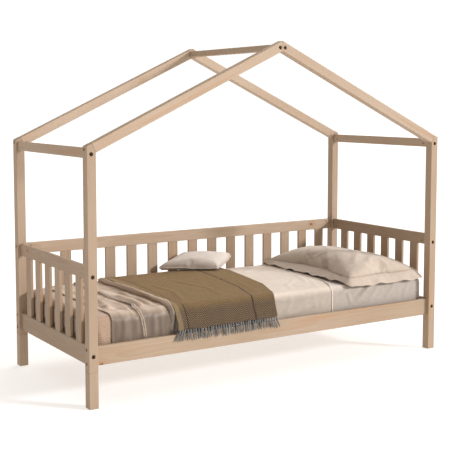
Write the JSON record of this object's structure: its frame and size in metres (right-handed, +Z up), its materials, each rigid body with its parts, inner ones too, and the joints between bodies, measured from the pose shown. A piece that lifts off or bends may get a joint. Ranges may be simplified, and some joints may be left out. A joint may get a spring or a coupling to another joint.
{
  "type": "house frame bed",
  "caption": "Child's single bed in bare pine: four posts carry an open gable roof frame; slatted end panels and a back guard surround a made-up mattress; the front is open above a low rail.",
  "frame": {"origin": "on the floor, midway between the ends and between the sides of the bed", "axes": "+X from the foot end to the head end, +Y from the open front to the guarded back, +Z up"},
  "size_m": [2.08, 0.904, 1.6544],
  "materials": {
    "pine_upright": "planed pine, clear matt",
    "pine_long": "planed pine, clear matt",
    "pine_cross": "planed pine, clear matt",
    "pine_roof_foot": "planed pine, clear matt",
    "pine_roof_head": "planed pine, clear matt",
    "black_steel": "blackened",
    "zinc_steel": "zinc plated",
    "beech_dowel": "fluted beech",
    "mattress_ticking": "knitted ticking",
    "sheet_cotton": "plain cotton",
    "peach_rib": "fine ribbed cotton",
    "taupe_satin": "satin cotton",
    "throw_weave": "herringbone wool",
    "throw_yarn": "twisted yarn",
    "pillow_cotton": "plain cotton",
    "cushion_linen": "slubbed linen"
  },
  "bodies": {
    "frame": {"post_foot_front": "pine_upright", "post_foot_back": "pine_upright", "post_head_front": "pine_upright", "post_head_back": "pine_upright", "leg_foot_front": "pine_upright", "leg_foot_back": "pine_upright", "leg_head_front": "pine_upright", "leg_head_back": "pine_upright", "guard_balusters": "pine_upright", "foot_end_balusters": "pine_upright", "head_end_balusters": "pine_upright", "side_rail_front": "pine_long", "side_rail_back": "pine_long", "guard_top_rail": "pine_long", "slat_cleat_front": "pine_long", "slat_cleat_back": "pine_long", "ridge_beam": "pine_cross", "eave_beam_foot": "pine_cross", "eave_beam_head": "pine_cross", "foot_end_bottom_rail": "pine_cross", "foot_end_top_rail": "pine_cross", "head_end_bottom_rail": "pine_cross", "head_end_top_rail": "pine_cross", "slats": "pine_cross", "rafter_front_foot": "pine_roof_foot", "rafter_back_foot": "pine_roof_foot", "rafter_front_head": "pine_roof_head", "rafter_back_head": "pine_roof_head", "bolts_m6x70": "black_steel", "bolts_m6x55": "black_steel", "barrel_nuts": "zinc_steel", "leg_studs": "zinc_steel", "slat_screws": "zinc_steel", "cleat_screws": "zinc_steel", "dowels": "beech_dowel"},
    "bedding": {"mattress": "mattress_ticking", "fitted_sheet": "sheet_cotton", "top_sheet": "sheet_cotton", "under_blanket": "peach_rib", "coverlet": "taupe_satin", "throw": "throw_weave", "throw_fringe": "throw_yarn"},
    "pillow_body": {"pillow": "pillow_cotton"},
    "cushion_body": {"cushion": "cushion_linen"}
  },
  "joints": [
    {"name": "bedding_lift", "type": "slide", "parent": "frame", "child": "bedding", "axis": [0, 0, 1], "range_m": [0, 0.3]},
    {"name": "pillow_lift", "type": "slide", "parent": "bedding", "child": "pillow_body", "axis": [0, 0, 1], "range_m": [0, 0.25]},
    {"name": "cushion_lift", "type": "slide", "parent": "bedding", "child": "cushion_body", "axis": [0, 0, 1], "range_m": [0, 0.25]}
  ]
}
